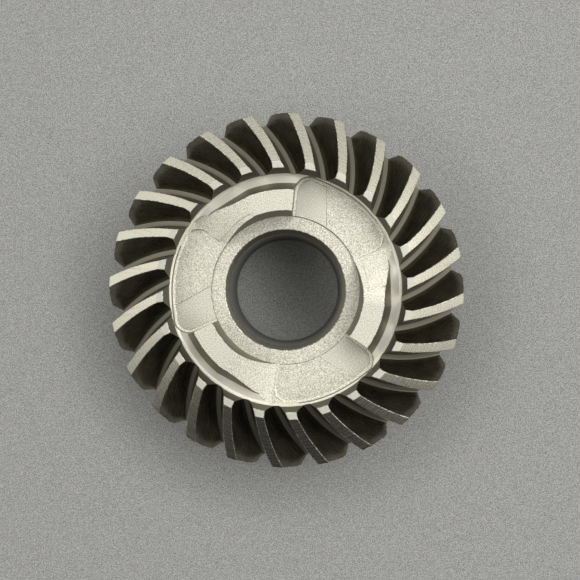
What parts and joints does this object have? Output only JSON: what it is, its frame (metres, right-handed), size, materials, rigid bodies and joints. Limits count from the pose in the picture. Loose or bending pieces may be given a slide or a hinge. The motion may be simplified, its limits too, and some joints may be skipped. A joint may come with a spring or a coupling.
{
  "type": "reverse gear",
  "caption": "Spiral bevel reverse gear with left-hand teeth on a cone, a dog-clutch face of ramped lugs and pockets, a plain through bore and a rear bearing boss.",
  "frame": {"origin": "on the bore axis at the end of the rear boss, which the gear rests on", "axes": "+Z along the bore axis, towards the teeth and the clutch face; +X to the right and +Y up in the picture"},
  "size_m": [0.088, 0.088, 0.0263],
  "materials": {
    "gear_steel": "case-hardened alloy steel, machined teeth and lands, fine-blasted clutch face"
  },
  "bodies": {
    "root": {"reverse_gear": "gear_steel"}
  },
  "joints": []
}
